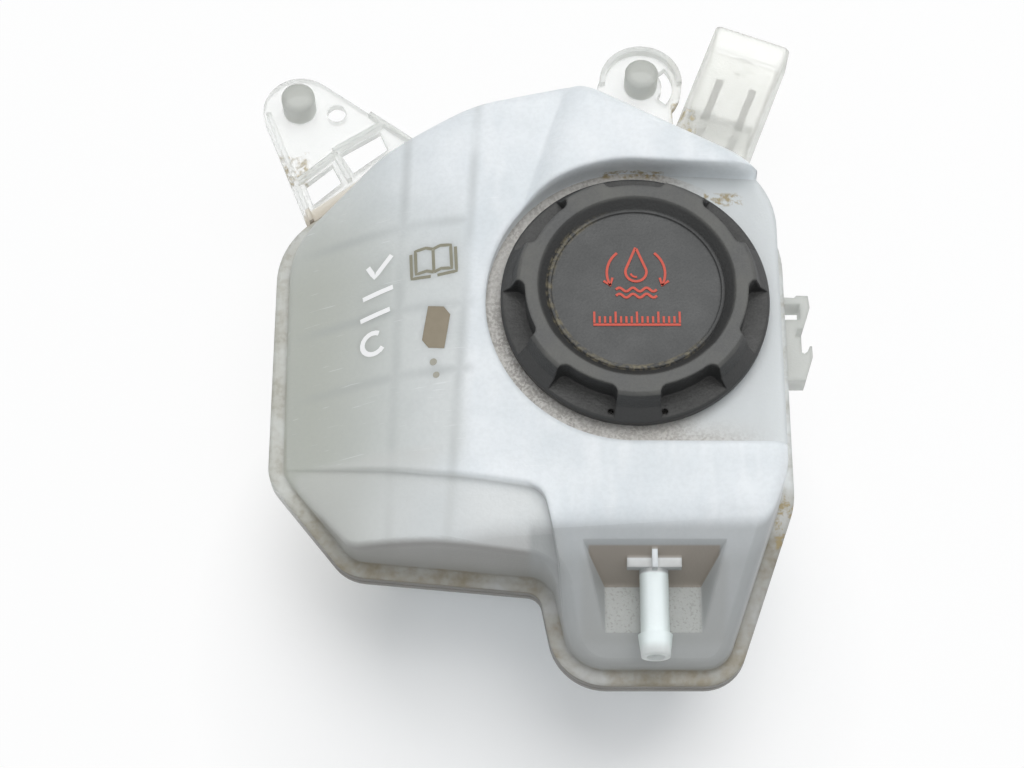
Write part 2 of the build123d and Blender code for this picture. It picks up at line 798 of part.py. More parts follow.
def relief_plate():
    """Plate that the relief spring holds shut, with a spring locator and the vacuum ports."""
    plate = cylinder(relief_plate_radius, relief_plate_z, relief_plate_top_z)
    locator = relief_spring_inner - spring_side_gap
    locator_top = relief_plate_top_z + spring_seat_height
    plate += tube(locator, locator - spring_seat_wall, relief_plate_top_z, locator_top)
    plate -= cylinder(vacuum_stem_radius + vacuum_stem_clearance, relief_plate_z, relief_plate_top_z)
    for index in range(vacuum_port_count):
        angle = radians((index + 0.5) * 360.0 / vacuum_port_count)
        x = vacuum_port_circle * cos(angle)
        y = vacuum_port_circle * sin(angle)
        plate -= cylinder(vacuum_port_radius, relief_plate_z, relief_plate_top_z, x, y)
    return plate


def relief_seal():
    return tube(relief_seal_radius, relief_seal_bore, relief_seal_z, relief_plate_z)


def relief_spring():
    return coil(relief_spring_radius, relief_spring_wire, relief_plate_top_z + spring_end_gap,
                lid_bottom_z - spring_end_gap, relief_spring_turns)


def vacuum_valve():
    """Disc under the relief plate on a stem that passes up through it."""
    disc_top = relief_plate_z - valve_seat_gap
    valve = cylinder(vacuum_disc_radius, disc_top - vacuum_disc_thickness, disc_top)
    stem_top = vacuum_clip_z + vacuum_clip_thickness + vacuum_stem_end
    return valve + cylinder(vacuum_stem_radius, disc_top, stem_top)


def vacuum_spring():
    return coil(vacuum_spring_radius, vacuum_spring_wire, relief_plate_top_z + spring_end_gap,
                vacuum_clip_z - spring_end_gap, vacuum_spring_turns)


def vacuum_clip():
    top = vacuum_clip_z + vacuum_clip_thickness
    return tube(vacuum_clip_radius, vacuum_stem_radius + press_gap, vacuum_clip_z, top)


def main():
    nodes = {
        "upper_shell": upper_shell(),
        "lower_shell": lower_shell(),
        "sensor_pin_left": sensor_pin(-1, pin_radius),
        "sensor_pin_right": sensor_pin(1, pin_radius),
        "cap_shell": cap_shell(),
        "valve_cup": valve_cup(),
        "valve_lid": valve_lid(),
        "lower_sealing_ring": sealing_ring(ring_heights[0]),
        "upper_sealing_ring": sealing_ring(ring_heights[1]),
        "relief_plate": relief_plate(),
        "relief_seal": relief_seal(),
        "relief_spring": relief_spring(),
        "vacuum_valve": vacuum_valve(),
        "vacuum_spring": vacuum_spring(),
        "vacuum_clip": vacuum_clip(),
    }
    os.makedirs("parts", exist_ok=True)
    for name, solid in nodes.items():
        export_step(solid, f"parts/{name}.step")


if __name__ == "__main__":
    main()
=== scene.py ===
# %% [markdown]
# # A coolant expansion tank
# The part is a frosted plastic tank with a black screw cap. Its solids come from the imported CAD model,
# which is loaded here as a fixed frame. This lesson dresses them: a camera, soft light, one finish for
# each real material, and the thin printed and written marks that lie on the surfaces.

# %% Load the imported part
import math

import bmesh
import bpy
from mathutils import Matrix, Vector
from mathutils.bvhtree import BVHTree


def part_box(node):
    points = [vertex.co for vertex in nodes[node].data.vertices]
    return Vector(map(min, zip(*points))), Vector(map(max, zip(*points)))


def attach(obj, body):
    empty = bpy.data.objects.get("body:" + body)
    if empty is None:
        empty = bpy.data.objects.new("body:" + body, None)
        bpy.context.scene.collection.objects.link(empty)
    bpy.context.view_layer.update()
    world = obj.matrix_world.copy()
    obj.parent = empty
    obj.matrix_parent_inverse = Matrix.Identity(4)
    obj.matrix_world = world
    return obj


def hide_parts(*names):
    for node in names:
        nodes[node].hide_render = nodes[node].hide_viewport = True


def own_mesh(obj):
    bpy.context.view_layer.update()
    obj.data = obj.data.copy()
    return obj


# One millimetre in Blender's metres. Places and sizes on the part are written in mm.
MM = 0.001

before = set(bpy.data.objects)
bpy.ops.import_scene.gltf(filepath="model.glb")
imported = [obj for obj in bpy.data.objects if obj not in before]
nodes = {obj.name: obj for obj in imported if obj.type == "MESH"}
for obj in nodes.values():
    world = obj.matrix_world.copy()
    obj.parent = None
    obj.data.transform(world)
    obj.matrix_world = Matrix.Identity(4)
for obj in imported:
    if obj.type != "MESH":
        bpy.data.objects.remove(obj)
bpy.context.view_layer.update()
scene = bpy.context.scene
scene.view_settings.view_transform = "Standard"
print("nodes:", sorted(nodes))

# %% [markdown]
# ## Camera
# The picture was taken from above and in front, level, with a longish lens: circles on the cap are only
# a little flattened, and the sides of the tank hardly converge. An 80 mm lens on a 36 mm sensor, 66.5
# degrees above the floor, gives the same view.

# %% Camera
LENS = 80.0
SENSOR = 36.0
DEGREES_ABOVE_FLOOR = 66.5
CAMERA_PLACE = (-0.03659, -0.29292, 0.69273)
NEAREST_SEEN = 0.01

camera_data = bpy.data.cameras.new("camera")
camera_data.lens = LENS
camera_data.sensor_width = SENSOR
camera_data.clip_start = NEAREST_SEEN
camera = bpy.data.objects.new("camera", camera_data)
camera.location = CAMERA_PLACE
camera.rotation_euler = (math.radians(90.0 - DEGREES_ABOVE_FLOOR), 0.0, 0.0)
scene.collection.objects.link(camera)
scene.camera = camera
print("camera at", tuple(round(v, 3) for v in camera.location))

# %% [markdown]
# ## Helpers for finishes
# Colours are written as sRGB hex values, as a paint program shows them, while shader sockets want linear
# light, so one function converts them. A second function adds one shader node, with its settings and
# the links into it. The others say in a word what a painter would do: lay a colour where zones overlap. A
# zone is a number from 0 to 1 at every place of the surface. Every socket knows the node tree that it
# belongs to, as its id_data, so a helper that starts from a socket needs no other way to find the tree.

# %% Helpers for colours and nodes
# Sockets of a Mix node that mixes two colours.
MIX_SHARE = 0
MIX_FIRST = 6
MIX_SECOND = 7
MIX_COLOUR = 2


def linear(hex_colour):
    """Linear RGBA for an sRGB hex colour."""
    channels = [int(hex_colour[i:i + 2], 16) / 255 for i in (1, 3, 5)]
    return tuple(c / 12.92 if c <= 0.04045 else ((c + 0.055) / 1.055) ** 2.4 for c in channels) + (1.0,)


def add(tree, kind, settings=(), links=()):
    """Adds a node. A key that names an input sets its value, any other key sets the node's own property."""
    node = tree.nodes.new(kind)
    for name, value in dict(settings).items():
        if isinstance(name, int) or name in node.inputs:
            node.inputs[name].default_value = value
        else:
            setattr(node, name, value)
    for name, source in dict(links).items():
        tree.links.new(source, node.inputs[name])
    return node


def new_material(name):
    """A material with an empty node tree, and that tree."""
    material = bpy.data.materials.new(name)
    material.use_nodes = True
    material.node_tree.nodes.clear()
    return material, material.node_tree


print("white is", linear("#ffffff"))


# %% Helpers for zones and colours
def join_zones(operation, first, *others):
    """Joins zones in turn by one operation. A plain number is set on the node's own socket."""
    for other in others:
        if isinstance(other, float):
            node = add(first.id_data, "ShaderNodeMath", {"operation": operation, 1: other}, {0: first})
        else:
            node = add(first.id_data, "ShaderNodeMath", {"operation": operation}, {0: first, 1: other})
        first = node.outputs[0]
    return first


def overlap(*zones):
    """Where all the zones are. A plain number among them sets how strong the result is."""
    return join_zones("MULTIPLY", *zones)


def either(*zones):
    """Where any of the zones is. A plain number among them is the least that the result can be."""
    return join_zones("MAXIMUM", *zones)


def between(first, second, share):
    """A colour between two hex colours, by a share that changes over the surface."""
    settings = {"data_type": "RGBA", MIX_FIRST: linear(first), MIX_SECOND: linear(second)}
    return add(share.id_data, "ShaderNodeMix", settings, {MIX_SHARE: share}).outputs[MIX_COLOUR]


def tint(base, colour, *zones, amount=1.0):
    """Lays a hex colour over a base where all the zones are, by an amount from 0 to 1."""
    settings = {"data_type": "RGBA", MIX_SECOND: linear(colour)}
    links = {MIX_SHARE: overlap(*zones, amount), MIX_FIRST: base}
    return add(base.id_data, "ShaderNodeMix", settings, links).outputs[MIX_COLOUR]


print("half grey is", round(linear("#808080")[0], 3), "in linear light")

# %% [markdown]
# ## Floor and light
# The tank lies on a white table under a broad soft light that comes from above, behind and a little to the
# right, so the slopes that face left and front are greyer. More lamps could make the table white, but they
# would wash out the pale plastic. So the table is white to the camera, and in what shines or lets light
# through, by way of Light Path. The rest of its shader stays matt, which keeps the soft shadow at the
# tank's foot. The room round it is done in the same way.

# %% Floor
FLOOR_HALF = 3.0
FLOOR_Z = -0.0003
# Share of plain white in what is seen of the table, in front of the tank and further away. The rest is
# lit, and keeps the shadow. SHADE_CENTRE and SHADE_REACH are in metres.
TABLE_GLOW = (0.0, 0.88)
SHADE_CENTRE = (-0.03, -0.08, 0.0)
SHADE_REACH = (0.045, 0.11)

floor_mesh = bpy.data.meshes.new("floor")
bm = bmesh.new()
bmesh.ops.create_grid(bm, x_segments=1, y_segments=1, size=FLOOR_HALF)
bm.to_mesh(floor_mesh)
bm.free()
floor = bpy.data.objects.new("floor", floor_mesh)
floor.location = (0.0, 0.0, FLOOR_Z)
scene.collection.objects.link(floor)


def seen(tree):
    """1 for the rays that look at a background: from the camera, in a shine, or through clear plastic."""
    rays = add(tree, "ShaderNodeLightPath").outputs
    return either(rays["Is Camera Ray"], rays["Is Glossy Ray"], rays["Is Transmission Ray"])


white_table, tree = new_material("matt white table")
spot = add(tree, "ShaderNodeTexCoord").outputs["Object"]
away = add(tree, "ShaderNodeVectorMath", {"operation": "DISTANCE", 1: SHADE_CENTRE}, {0: spot})
white = add(tree, "ShaderNodeMapRange",
            {"From Min": SHADE_REACH[0], "From Max": SHADE_REACH[1],
             "To Min": TABLE_GLOW[0], "To Max": TABLE_GLOW[1]}, {0: away.outputs["Value"]})
matt = add(tree, "ShaderNodeBsdfDiffuse", {"Color": linear("#fcfcfb")})
glow = add(tree, "ShaderNodeEmission", {"Color": linear("#ffffff"), "Strength": 1.0})
mixed = add(tree, "ShaderNodeMixShader", (),
            {0: overlap(seen(tree), white.outputs[0]), 1: matt.outputs[0], 2: glow.outputs[0]})
add(tree, "ShaderNodeOutputMaterial", (), {"Surface": mixed.outputs[0]})
floor_mesh.materials.append(white_table)
print("floor", floor.name, "is stage")

# %% Lamp and room
LAMP_WATTS = 7.7
LAMP_SIZE = (1.1, 0.9)
LAMP_PLACE = (0.18, 0.30, 1.38)
LAMP_AIM = (-0.03, -0.01, 0.05)
ROOM_LIGHT = 0.67

lamp_data = bpy.data.lights.new("softbox", "AREA")
lamp_data.shape = "RECTANGLE"
lamp_data.size, lamp_data.size_y = LAMP_SIZE
lamp_data.energy = LAMP_WATTS
lamp = bpy.data.objects.new("softbox", lamp_data)
lamp.location = LAMP_PLACE
aim = Vector(LAMP_AIM) - lamp.location
lamp.rotation_euler = aim.to_track_quat("-Z", "Y").to_euler()
scene.collection.objects.link(lamp)

world = bpy.data.worlds.new("white room")
world.use_nodes = True
tree = world.node_tree
tree.nodes.clear()
room = add(tree, "ShaderNodeBackground", {"Color": linear("#f3f5f8"), "Strength": ROOM_LIGHT})
backdrop = add(tree, "ShaderNodeBackground", {"Color": linear("#ffffff"), "Strength": 1.0})
mixed = add(tree, "ShaderNodeMixShader", (), {0: seen(tree), 1: room.outputs[0], 2: backdrop.outputs[0]})
add(tree, "ShaderNodeOutputWorld", (), {"Surface": mixed.outputs[0]})
scene.world = world
print("lamp", LAMP_WATTS, "W, room", ROOM_LIGHT)

# %% [markdown]
# ## Frosted polypropylene
# Both shells are moulded in natural polypropylene, a milky plastic with a fine satin skin. Light goes into
# it and comes out again nearby, so shaded walls still glow a little: subsurface scattering gives that. The
# baffle ribs inside touch the roof and show through as soft grey lines. The ears, the socket and the clip
# stand free over the white table and are nearly clear, with greyer edges where one looks along the
# plastic. Each of these could have a material of its own, but a moulding has no border between them. One
# material covers all of it, because every zone is a place on the part: it reads Object coordinates,
# which are metres in the part's own frame.

# %% Places on the tank
NOISE_ROUGHNESS = 0.6


def places(tree):
    """The part's own coordinates, the same as x, y and z, and which way the surface faces."""
    coordinates = add(tree, "ShaderNodeTexCoord").outputs
    sides = add(tree, "ShaderNodeSeparateXYZ", (), {0: coordinates["Object"]}).outputs
    facing = add(tree, "ShaderNodeSeparateXYZ", (), {0: coordinates["Normal"]}).outputs
    return coordinates["Object"], dict(zip("xyz", sides)), dict(zip("xyz", facing))


def fade(value, start, full):
    """0 at start, rising smoothly to 1 at full, both in mm. Either of them may be the greater."""
    rising = start < full
    low, high = sorted((start, full))
    settings = {"interpolation_type": "SMOOTHSTEP", "From Min": low * MM, "From Max": high * MM,
                "To Min": 0.0 if rising else 1.0, "To Max": 1.0 if rising else 0.0}
    return add(value.id_data, "ShaderNodeMapRange", settings, {0: value}).outputs[0]


def band(value, low, high, soft):
    """1 where a value lies between two limits, falling to 0 over a soft width, all in mm."""
    return overlap(fade(value, low - soft, low), fade(value, high + soft, high))


def patch(sides, limits, soft):
    """1 inside a box, given in mm as low and high limits of some of the coordinates."""
    return overlap(*[band(sides[name], low, high, soft) for name, (low, high) in limits.items()])


def off_plane(place, point, normal):
    """Distance in front of a plane, which is given by a point in mm and its normal."""
    along = add(place.id_data, "ShaderNodeVectorMath", {"operation": "DOT_PRODUCT", 1: normal}, {0: place})
    return add(place.id_data, "ShaderNodeMath", {"operation": "SUBTRACT", 1: point.dot(normal) * MM},
               {0: along.outputs["Value"]}).outputs[0]


def off_line(place, start, end):
    """Distance to the left of the upright plane through two plan points in mm."""
    run = (Vector(end) - Vector(start)).normalized()
    return off_plane(place, Vector((*start, 0.0)), Vector((-run.y, run.x, 0.0)))


def from_axis(first, second, centre):
    """Distance from the line that crosses the plane of two coordinates at a point in mm."""
    flat = add(first.id_data, "ShaderNodeCombineXYZ", (), {0: first, 1: second})
    middle = (centre[0] * MM, centre[1] * MM, 0.0)
    away = add(first.id_data, "ShaderNodeVectorMath", {"operation": "DISTANCE", 1: middle},
               {0: flat.outputs[0]})
    return away.outputs["Value"]


def mottle(place, size, low, high, detail):
    """Clouds or grains of a size in mm, as 0 to 1 between two levels of a noise."""
    noise = add(place.id_data, "ShaderNodeTexNoise",
                {"Scale": 1 / (size * MM), "Detail": detail, "Roughness": NOISE_ROUGHNESS}, {"Vector": place})
    levels = {"From Min": low, "From Max": high}
    return add(place.id_data, "ShaderNodeMapRange", levels, {0: noise.outputs[0]}).outputs[0]


# %% [markdown]
# ### The milky skin and the ribs behind it
# The plastic is bluish white in the middle and clouded everywhere. Down the steep left side, which faces
# away from the lamp, a greyer and a little greener painted shade is laid on it. Light that really passes
# through the wall would show the ribs, but it takes many more samples. So the ribs are drawn as painted
# shade: the same plan lines as in the solids, blurred to a few millimetres because the wall in front of
# them scatters the light, and broken up where the wall is thicker.

# %% Skin
# Pairs give where a colour starts and where it is full, along the axis that ends their name.
LEFT_SIDE_X = (-56.0, -100.0)
LEFT_SIDE_Y = (60.0, 15.0)
LEFT_SHARE_AT_BACK = 0.38
LEFT_CELLS_X = (-47.0, -54.0)
LEFT_CELLS_BACK_Y = (48.0, 10.0)
LEFT_CELLS_FRONT_Y = (-60.0, -40.0)
TOP_Z = (50.0, 62.0)
RIGHT_OF_RIBS_X = (-60.0, -44.0)
# Coordinates are scaled by this along y, so flow marks are four times as long as they are wide.
FLOW_STRETCH = 0.25

tank_plastic, tree = new_material("frosted polypropylene, moulded")
place, sides, facing = places(tree)
cloud = mottle(place, size=32.0, low=0.35, high=0.65, detail=2.0)
skin = between("#dde3e6", "#edf1f3", cloud)

# Painted shade, greyer and a little greener, on the roof left of the ribs and on the steep left side.
front_part = add(tree, "ShaderNodeMapRange",
                 {"From Min": LEFT_SIDE_Y[0] * MM, "From Max": LEFT_SIDE_Y[1] * MM,
                  "To Min": LEFT_SHARE_AT_BACK}, {0: sides["y"]}).outputs[0]
left_cells_shade = overlap(fade(sides["x"], *LEFT_CELLS_X), fade(sides["y"], *LEFT_CELLS_BACK_Y),
                     fade(sides["y"], *LEFT_CELLS_FRONT_Y))
skin = tint(skin, "#c4c7c2", left_cells_shade, amount=0.55)
skin = tint(skin, "#b9bcb3", fade(sides["x"], *LEFT_SIDE_X), front_part)

# Flow marks of the moulding: faint pale streaks that run from front to back.
drawn_out = add(tree, "ShaderNodeMapping", {"Scale": (1.0, FLOW_STRETCH, 1.0)}, {"Vector": place})
flow = mottle(drawn_out.outputs[0], size=9.0, low=0.50, high=0.70, detail=2.0)
on_top = fade(sides["z"], *TOP_Z)
skin = tint(skin, "#f8fafb", flow, on_top, fade(sides["x"], *RIGHT_OF_RIBS_X), amount=0.34)

# A fine grey grain under the skin, drawn at 1.4 mm so that it shows.
haze = mottle(place, size=1.4, low=0.38, high=0.66, detail=1.0)
skin = tint(skin, "#a7acab", haze, amount=0.07)
print("skin nodes:", len(tree.nodes))

# %% Rib lines and scuffs
# Long baffle ribs as plan points, the places of the cross ribs, and how far the shade of a rib spreads.
LONG_RIBS = (((-68.0, 80.0), (-73.5, -90.0)), ((-46.0, 80.0), (-54.5, -60.0)))
CROSS_RIBS_Y = (27.0, 0.0, -21.0)
CROSS_RIBS_X = (-46.0, -51.0)
RIB_BLUR = 2.7
# Scuffs are turned by this in plan, and are this many times as long as they are wide.
SCUFF_DEGREES = 28.0
SCUFF_STRETCH = 16.0

rib_lines = [band(off_line(place, *ends), 0.0, 0.0, RIB_BLUR) for ends in LONG_RIBS]
cross_part = fade(sides["x"], *CROSS_RIBS_X)
rib_lines += [overlap(band(sides["y"], y, y, RIB_BLUR), cross_part) for y in CROSS_RIBS_Y]
broken = mottle(place, size=26.0, low=0.20, high=0.55, detail=1.0)
# Painted shade of the ribs, seen through the wall.
skin = tint(skin, "#a3a8a7", either(*rib_lines), broken, on_top, amount=0.36)

# Handling has left short light scuffs: a stretched noise, cut to thin streaks.
turned = add(tree, "ShaderNodeMapping",
             {"Rotation": (0.0, 0.0, math.radians(SCUFF_DEGREES)), "Scale": (1.0, SCUFF_STRETCH, 1.0)},
             {"Vector": place})
scuffs = mottle(turned.outputs[0], size=14.0, low=0.68, high=0.76, detail=2.0)
skin = tint(skin, "#f4f6f7", scuffs, amount=0.35)
print("rib lines:", len(rib_lines))

# %% [markdown]
# ### Stippled land, dirt and the pocket
# The land round the neck is moulded with a stipple that holds brown dust on its left and front, and so is
# the small floor of the pocket. Road dirt has settled on the weld flange and in the corner above it, on the
# pocket's back wall and in a few ochre smears, and the back wall also gets painted shade. A painted picture
# could show all this, but it would have to be kept beside the script. Here every patch is a place and a
# noise, multiplied.

# %% Dust in the stipple
NECK_AXIS_XY = (0.0, 0.0)
LAND_Z = (77.8, 78.2)
LAND_RADIUS = 45.0
RIM_SOFT = 0.2
ZONE_SOFT = 0.1
LAND = {"x": (-2.0, 48.0), "y": (-48.0, 45.0), "z": LAND_Z}
# Where the dust starts and where it is full: round the neck, and on the strip in front of it.
DUST_X = (26.0, 6.0)
STRIP = {"x": (0.0, 48.0), "y": (-52.0, -30.0), "z": LAND_Z}
STRIP_DUST_X = (46.0, 14.0)
STRIP_DUST_Y = (-34.0, -47.0)

# The stipple is drawn at 0.9 mm so that it shows.
stipple = mottle(place, size=0.9, low=0.40, high=0.62, detail=1.0)
land_clouds = mottle(place, size=20.0, low=0.28, high=0.60, detail=2.0)
from_neck = from_axis(sides["x"], sides["y"], NECK_AXIS_XY)
round_neck = fade(from_neck, LAND_RADIUS + RIM_SOFT, LAND_RADIUS - RIM_SOFT)
dusty_ring = overlap(band(sides["z"], *LAND_Z, ZONE_SOFT), round_neck, fade(sides["x"], *DUST_X))
dusty_strip = overlap(fade(sides["x"], *STRIP_DUST_X), fade(sides["y"], *STRIP_DUST_Y),
                      patch(sides, STRIP, ZONE_SOFT))
dusty_land = either(dusty_ring, dusty_strip)
skin = tint(skin, "#cfd3d3", patch(sides, LAND, ZONE_SOFT), amount=0.85)
skin = tint(skin, "#ccc8c1", dusty_land, amount=0.85)
skin = tint(skin, "#736a62", dusty_land, stipple, land_clouds, amount=0.55)
print("dust on the land at", LAND_Z, "mm")

# %% Dust in the pocket
POCKET = {"x": (-15.0, 24.0), "y": (-98.0, -78.0), "z": (58.5, 70.0)}
POCKET_SOFT = 3.0
POCKET_FLOOR = {"x": (-9.4, 18.5), "y": (-96.0, -81.6), "z": (58.7, 59.3)}
FLOOR_SOFT = 0.2

# Dust in the floor's stipple, drawn at 0.8 mm so that it shows.
sparse_grain = mottle(place, size=0.8, low=0.56, high=0.68, detail=1.0)
pocket_floor = patch(sides, POCKET_FLOOR, FLOOR_SOFT)
skin = tint(skin, "#a39e95", patch(sides, POCKET, POCKET_SOFT), amount=0.5)
skin = tint(skin, "#b3b5b2", pocket_floor)
skin = tint(skin, "#85827c", pocket_floor, sparse_grain, amount=0.45)
print("stippled pocket floor at", POCKET_FLOOR["z"], "mm")

# %% Grey of the shelf and the front walls
# The front gets dirt and painted shade: this is where they start and where they are full.
FRONT_Y = (-42.0, -72.0)
SHELF = {"x": (-100.0, -24.0), "y": (-90.0, -46.0), "z": (52.0, 74.0)}
SHELF_SOFT = 4.0
FRONT_WALL = {"y": (-120.0, -60.0), "z": (46.0, 70.0)}
WALL_SOFT = 5.0
LOBE = {"x": (-30.0, 60.0), "z": (49.0, 76.0)}
LOBE_SOFT = 3.0
LOW_FRONT_Z = (66.0, 50.0)
ABOVE_FLANGE_Z = (47.0, 49.0)
# Parts of a face's normal, from none of the shade to all of it.
FACING_FORWARD = (-0.25, -0.85)
FACING_STEEP = (0.99, 0.80)

at_front = fade(sides["y"], *FRONT_Y)
forward = add(tree, "ShaderNodeMapRange", {"From Min": FACING_FORWARD[0], "From Max": FACING_FORWARD[1]},
              {0: facing["y"]}).outputs[0]
steep = add(tree, "ShaderNodeMapRange", {"From Min": FACING_STEEP[0], "From Max": FACING_STEEP[1]},
            {0: facing["z"]}).outputs[0]
skin = tint(skin, "#cbccc8", patch(sides, SHELF, SHELF_SOFT), amount=0.5)
# Painted shade and grey dirt on the walls that face forward, away from the lamp.
skin = tint(skin, "#84827e", forward, patch(sides, FRONT_WALL, WALL_SOFT), amount=0.85)
# Painted shade on the steep sides of the lobe.
skin = tint(skin, "#999c9c", steep, at_front, patch(sides, LOBE, LOBE_SOFT), amount=0.8)
# Darker towards the bottom of the front, above the flange.
skin = tint(skin, "#a0a19d", at_front, fade(sides["z"], *LOW_FRONT_Z), fade(sides["z"], *ABOVE_FLANGE_Z),
            amount=0.5)
print("the front is dirty from", FRONT_Y[0], "to", FRONT_Y[1], "mm")

# %% Road dirt on the weld flange, and dirt and painted shade in the pocket
FLANGE_Z = (41.6, 48.15)
FLANGE_SOFT = 0.3
FRONT_FLANGE_Z = (41.2, 47.6)
FLANGE_CORNER_Z = (47.6, 49.4)
DIRT_SOFT = 0.8
# Dirt in the corner above the flange, at the back and at the front.
CORNER_DIRT = (0.35, 0.7)
# The pocket's back wall: a point on it, its normal, its reach and the depth of the dirt and painted shade on
# it.
WALL_POINT = (0.0, -81.5, 59.0)
WALL_NORMAL = (0.0, 0.870, -0.492)
WALL_REACH = {"x": (-14.0, 23.0), "z": (58.5, 72.0)}
WALL_REACH_SOFT = 1.0
WALL_DIRT_AND_SHADE = 0.4

streaks = mottle(place, size=11.0, low=0.34, high=0.66, detail=3.0)
specks = mottle(place, size=2.2, low=0.46, high=0.62, detail=2.0)
flange = band(sides["z"], *FLANGE_Z, FLANGE_SOFT)
corner_dirt = add(tree, "ShaderNodeMapRange", {"To Min": CORNER_DIRT[0], "To Max": CORNER_DIRT[1]},
                  {0: at_front}).outputs[0]
skin = tint(skin, "#d2d3cf", flange, amount=0.6)
skin = tint(skin, "#8d8470", flange, streaks, specks, amount=0.35)
skin = tint(skin, "#5f5a52", band(sides["z"], *FRONT_FLANGE_Z, DIRT_SOFT), at_front, amount=0.85)
skin = tint(skin, "#7f7458", band(sides["z"], *FLANGE_CORNER_Z, DIRT_SOFT), streaks, corner_dirt)

# Painted shade and dirt on the pocket's back wall.
off_wall = off_plane(place, Vector(WALL_POINT), Vector(WALL_NORMAL))
skin = tint(skin, "#8f867a", band(off_wall, -WALL_DIRT_AND_SHADE, WALL_DIRT_AND_SHADE, WALL_DIRT_AND_SHADE),
            patch(sides, WALL_REACH, WALL_REACH_SOFT), amount=0.85)
print("flange at", FLANGE_Z, "mm")

# %% [markdown]
# ### Clear ears, socket and clip
# What stands beyond the weld flange is thin and clear. Seen flat on it nearly vanishes against the table,
# and seen along its edges it is grey. A glass shader would bend the light at every thin wall and come out
# dark. So the facing of each face sets its colour and how much it hides. The pegs and the clip are thick
# and stay grey from every side.

# %% Clear parts
# Outer corners of the tank at the back and right, as plan points from left to right.
FREE_CORNERS = ((-106.5, 33.5), (-77.0, 55.5), (-48.0, 68.0), (-15.0, 74.5), (44.6, 43.0), (44.6, -52.0))
FLANGE_REACH = 4.3
PEGS = ((-106.0, 86.5), (5.6, 95.5))
PEG_REACH = 5.6
PEG_SOFT = 0.3
EAR_TOP_Z = 45.2
CLEAR_SOFT = 0.5
CLIP = {"x": (49.0, 60.0), "y": (-12.0, 22.0)}
SOCKET = {"x": (15.0, 60.0), "y": (58.0, 130.0)}
# The socket is browner near the tank: distances from the tank's side.
SOCKET_BROWN = (26.0, 6.0)
CLIP_GREY = 0.75
RIB_GREY = 0.28
EDGE_GREY = 0.55
# How much the plastic hides where it is clear, where it is grey, and at the socket.
HIDES_CLEAR = 0.30
HIDES_GREY = 0.88
HIDES_SOCKET = 0.36

free_offs = [off_line(place, start, end) for start, end in zip(FREE_CORNERS, FREE_CORNERS[1:])]
ear_side = free_offs[0]
socket_side = free_offs[3]
clear = fade(either(*free_offs), FLANGE_REACH, FLANGE_REACH + CLEAR_SOFT)
raised = fade(sides["z"], EAR_TOP_Z, EAR_TOP_Z + CLEAR_SOFT)
pegs = [fade(from_axis(sides["x"], sides["y"], peg), PEG_REACH + PEG_SOFT, PEG_REACH) for peg in PEGS]
thick = either(overlap(either(*pegs), raised), overlap(patch(sides, CLIP, CLEAR_SOFT), CLIP_GREY),
               overlap(raised, RIB_GREY))
flat_on = add(tree, "ShaderNodeMath", {"operation": "ABSOLUTE"}, {0: facing["z"]}).outputs[0]
edge_on = add(tree, "ShaderNodeMapRange", {"To Min": EDGE_GREY, "To Max": 0.0}, {0: flat_on}).outputs[0]
grey = either(thick, edge_on)
socket = overlap(patch(sides, SOCKET, CLEAR_SOFT), clear)
skin = tint(skin, "#f7f8f5", clear)
skin = tint(skin, "#f4f4ee", socket)
skin = tint(skin, "#d3d1bf", socket, fade(socket_side, *SOCKET_BROWN))
skin = tint(skin, "#bdbfb8", clear, grey)
hides = add(tree, "ShaderNodeMapRange", {"To Min": HIDES_CLEAR, "To Max": HIDES_GREY}, {0: grey}).outputs[0]
hides = either(hides, overlap(socket, HIDES_SOCKET))
print("clear beyond", FLANGE_REACH, "mm from the tank's side")

# %% Dirt at the ears, and smears
# Ochre smears as boxes: the land behind the cap, the right flange, the ear's edge, the socket's corner and
# the foot of the raised back.
SMEARS = (
    {"x": (22.5, 33.0), "y": (34.2, 37.2), "z": (77.0, 79.0)},
    {"x": (43.0, 48.0), "y": (-66.0, -50.0), "z": (44.0, 54.0)},
    {"x": (-113.0, -103.0), "y": (59.0, 70.0), "z": (40.0, 46.0)},
    {"x": (16.0, 23.0), "y": (80.0, 90.0), "z": (30.0, 46.0)},
    {"x": (-9.0, 9.0), "y": (43.6, 46.6), "z": (77.5, 80.0)},
)
SMEAR_SOFT = 1.2
SMEAR_STRENGTH = 0.85
# A stained strip where the left ear leaves the tank, and a dark line along its foot, both as distances
# from the tank's side, and the stretch of x that they cover.
EAR_STRIP = (4.4, 9.0)
EAR_STRIP_SOFT = 1.0
EAR_LINE = (4.2, 5.2)
EAR_LINE_SOFT = 0.3
EAR_X = (-103.0, -79.0)
EAR_X_SOFT = 2.0
HIDES_STRIP = 0.75

by_ear = band(sides["x"], *EAR_X, EAR_X_SOFT)
ear_strip = overlap(band(ear_side, *EAR_STRIP, EAR_STRIP_SOFT), by_ear)
ear_line = overlap(band(ear_side, *EAR_LINE, EAR_LINE_SOFT), by_ear)
smears = overlap(either(*[patch(sides, box, SMEAR_SOFT) for box in SMEARS]), specks, SMEAR_STRENGTH)
skin = tint(skin, "#c6baa4", ear_strip, amount=0.8)
skin = tint(skin, "#6d6150", ear_line, amount=0.8)
skin = tint(skin, "#9c8a5c", smears)
hides = either(hides, overlap(ear_strip, HIDES_STRIP), smears)
alpha = add(tree, "ShaderNodeMix", {"data_type": "FLOAT", "A": 1.0}, {"Factor": clear, "B": hides}).outputs[0]
print("smears:", len(SMEARS))

